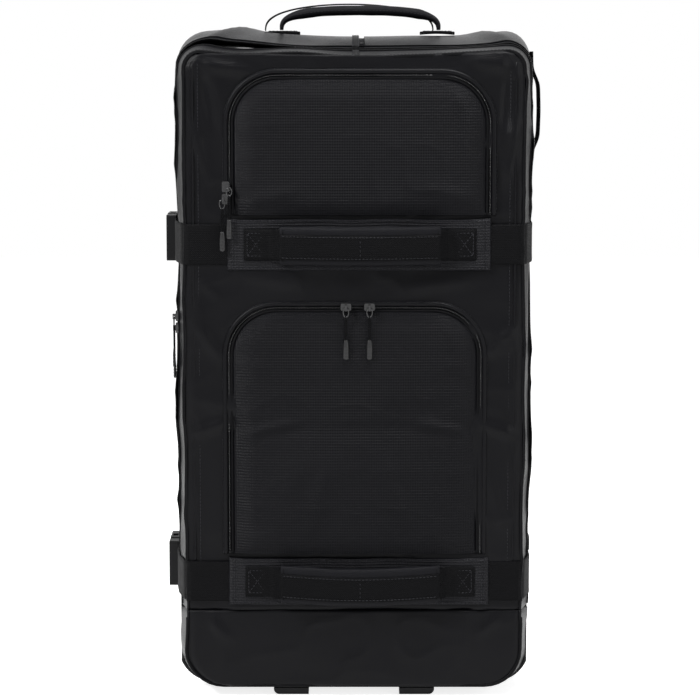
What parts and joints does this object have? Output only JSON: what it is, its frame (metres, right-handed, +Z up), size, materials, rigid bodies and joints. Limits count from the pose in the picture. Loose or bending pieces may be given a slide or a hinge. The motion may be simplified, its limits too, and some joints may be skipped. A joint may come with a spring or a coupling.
{
  "type": "wheeled upright soft gear bag",
  "caption": "Upright soft gear bag with a side-hinged front lid, two zipped pockets, buckled straps, padded handles, wheels and a telescopic pull handle.",
  "frame": {"origin": "on the floor, under the middle of the bag", "axes": "+Z up along the bag's height, +Y from the front panel to the back, +X to the right of someone facing the front"},
  "size_m": [0.474, 0.3532, 0.866],
  "materials": {
    "coated_fabric": "satin coated weave",
    "ribbed_fabric": "ribbed dobby weave",
    "webbing": "woven webbing",
    "padded_grip": "padded soft weave",
    "zip_tape": "zip tape and welt",
    "moulded_plastic": "fine moulded texture",
    "hub_plastic": "semi gloss",
    "tyre_rubber": "matt rubber",
    "tube_metal": "dark anodised",
    "steel": "plain zinc",
    "zip_metal": "gloss black",
    "pull_rubber": "satin rubber and cord"
  },
  "bodies": {
    "bag": {"back_panel": "coated_fabric", "base_tub": "moulded_plastic", "body_zip_tape": "zip_tape", "buckle_sockets": "moulded_plastic", "buckle_straps": "webbing", "frame_sheet": "moulded_plastic", "front_feet": "moulded_plastic", "handle_bezel": "moulded_plastic", "hinge_side_straps": "webbing", "housing_screws": "steel", "lower_front_panel": "coated_fabric", "outer_tubes": "tube_metal", "rub_rails": "moulded_plastic", "side_gusset_left": "coated_fabric", "side_gusset_right": "coated_fabric", "top_gusset": "coated_fabric", "top_handle_patches": "webbing", "tube_cover": "coated_fabric", "tube_foot_bracket": "moulded_plastic", "wheel_axles": "steel", "wheel_bearings": "steel", "wheel_housings": "moulded_plastic"},
    "lid": {"lid_panel": "coated_fabric", "lid_band": "coated_fabric", "lid_zip_tape": "zip_tape", "upper_pocket": "ribbed_fabric", "lower_pocket": "ribbed_fabric", "upper_pocket_zip": "zip_tape", "lower_pocket_zip": "zip_tape", "strap_sleeves": "ribbed_fabric", "handle_patches": "webbing", "upper_strap": "webbing", "lower_strap": "webbing"},
    "top_handle": {"top_handle_grip": "padded_grip", "top_handle_webbing": "webbing"},
    "wheel_left": {"hub_left": "hub_plastic", "tyre_left": "tyre_rubber"},
    "wheel_right": {"hub_right": "hub_plastic", "tyre_right": "tyre_rubber"},
    "pull_handle": {"inner_tubes": "tube_metal", "pull_grip": "moulded_plastic"},
    "upper_buckle_clip": {"upper_buckle_clip": "moulded_plastic"},
    "lower_buckle_clip": {"lower_buckle_clip": "moulded_plastic"},
    "upper_carry_handle": {"upper_carry_handle": "padded_grip"},
    "lower_carry_handle": {"lower_carry_handle": "padded_grip"},
    "side_handle": {"side_handle": "webbing"},
    "middle_tubes": {"middle_tubes": "tube_metal"},
    "release_button": {"release_button": "hub_plastic"},
    "upper_pocket_slider_low": {"upper_pocket_slider_low": "zip_metal"},
    "upper_pocket_slider_high": {"upper_pocket_slider_high": "zip_metal"},
    "lower_pocket_slider_left": {"lower_pocket_slider_left": "zip_metal"},
    "lower_pocket_slider_right": {"lower_pocket_slider_right": "zip_metal"},
    "main_slider_low": {"main_slider_low": "zip_metal"},
    "main_slider_high": {"main_slider_high": "zip_metal"},
    "upper_pocket_pull_low": {"upper_pocket_pull_low": "pull_rubber"},
    "upper_pocket_pull_high": {"upper_pocket_pull_high": "pull_rubber"},
    "lower_pocket_pull_left": {"lower_pocket_pull_left": "pull_rubber"},
    "lower_pocket_pull_right": {"lower_pocket_pull_right": "pull_rubber"},
    "main_pull_low": {"main_pull_low": "pull_rubber"},
    "main_pull_high": {"main_pull_high": "pull_rubber"}
  },
  "joints": [
    {"name": "lid_hinge", "type": "hinge", "parent": "bag", "child": "lid", "pos_m": [0.222, -0.11, 0.46], "axis": [0, 0, 1], "range_deg": [0, 120]},
    {"name": "upper_buckle_release", "type": "slide", "parent": "lid", "child": "upper_buckle_clip", "axis": [0, -1, 0], "range_m": [0, 0.035]},
    {"name": "lower_buckle_release", "type": "slide", "parent": "lid", "child": "lower_buckle_clip", "axis": [0, -1, 0], "range_m": [0, 0.035]},
    {"name": "upper_carry_handle_slack", "type": "slide", "parent": "lid", "child": "upper_carry_handle", "axis": [0, -1, 0], "range_m": [0, 0.02]},
    {"name": "lower_carry_handle_slack", "type": "slide", "parent": "lid", "child": "lower_carry_handle", "axis": [0, -1, 0], "range_m": [0, 0.02]},
    {"name": "side_handle_slack", "type": "slide", "parent": "bag", "child": "side_handle", "axis": [1, 0, 0], "range_m": [0, 0.015]},
    {"name": "top_handle_tilt", "type": "hinge", "parent": "bag", "child": "top_handle", "pos_m": [0.008, 0.022, 0.833], "axis": [1, 0, 0], "range_deg": [-50, 50], "stiffness_Nm_per_rad": 0.15},
    {"name": "wheel_left_spin", "type": "hinge", "parent": "bag", "child": "wheel_left", "pos_m": [-0.19, 0.132, 0.046], "axis": [1, 0, 0], "continuous": true},
    {"name": "wheel_right_spin", "type": "hinge", "parent": "bag", "child": "wheel_right", "pos_m": [0.19, 0.132, 0.046], "axis": [1, 0, 0], "continuous": true},
    {"name": "lower_stage", "type": "slide", "parent": "bag", "child": "middle_tubes", "axis": [0, 0, 1], "range_m": [0, 0.19]},
    {"name": "upper_stage", "type": "slide", "parent": "middle_tubes", "child": "pull_handle", "axis": [0, 0, 1], "range_m": [0, 0.19]},
    {"name": "release_button_press", "type": "slide", "parent": "pull_handle", "child": "release_button", "axis": [0, 0, -1], "range_m": [0, 0.0035], "stiffness_N_per_m": 300, "springref_m": -0.002},
    {"name": "upper_pocket_slider_low_run", "type": "slide", "parent": "lid", "child": "upper_pocket_slider_low", "axis": [0, 0, -1], "range_m": [0, 0.01]},
    {"name": "upper_pocket_pull_low_swing", "type": "hinge", "parent": "upper_pocket_slider_low", "child": "upper_pocket_pull_low", "pos_m": [-0.1612, -0.1608, 0.625], "axis": [-1, 0, 0], "range_deg": [0, 150]},
    {"name": "upper_pocket_slider_high_run", "type": "slide", "parent": "lid", "child": "upper_pocket_slider_high", "axis": [0, 0, 1], "range_m": [0, 0.06]},
    {"name": "upper_pocket_pull_high_swing", "type": "hinge", "parent": "upper_pocket_slider_high", "child": "upper_pocket_pull_high", "pos_m": [-0.1528, -0.1608, 0.64], "axis": [-1, 0, 0], "range_deg": [0, 150]},
    {"name": "lower_pocket_slider_left_run", "type": "slide", "parent": "lid", "child": "lower_pocket_slider_left", "axis": [-1, 0, 0], "range_m": [0, 0.075]},
    {"name": "lower_pocket_pull_left_swing", "type": "hinge", "parent": "lower_pocket_slider_left", "child": "lower_pocket_pull_left", "pos_m": [-0.01, -0.1658, 0.492], "axis": [-1, 0, 0], "range_deg": [0, 150]},
    {"name": "lower_pocket_slider_right_run", "type": "slide", "parent": "lid", "child": "lower_pocket_slider_right", "axis": [1, 0, 0], "range_m": [0, 0.07]},
    {"name": "lower_pocket_pull_right_swing", "type": "hinge", "parent": "lower_pocket_slider_right", "child": "lower_pocket_pull_right", "pos_m": [0.019, -0.1658, 0.492], "axis": [-1, 0, 0], "range_deg": [0, 150]},
    {"name": "main_slider_low_run", "type": "slide", "parent": "bag", "child": "main_slider_low", "axis": [0, 0, -1], "range_m": [0, 0.2]},
    {"name": "main_pull_low_swing", "type": "hinge", "parent": "main_slider_low", "child": "main_pull_low", "pos_m": [-0.2248, -0.1058, 0.461], "axis": [0, 1, 0], "range_deg": [0, 150]},
    {"name": "main_slider_high_run", "type": "slide", "parent": "bag", "child": "main_slider_high", "axis": [0, 0, 1], "range_m": [0, 0.055]},
    {"name": "main_pull_high_swing", "type": "hinge", "parent": "main_slider_high", "child": "main_pull_high", "pos_m": [-0.2248, -0.1142, 0.476], "axis": [0, 1, 0], "range_deg": [0, 150]}
  ]
}
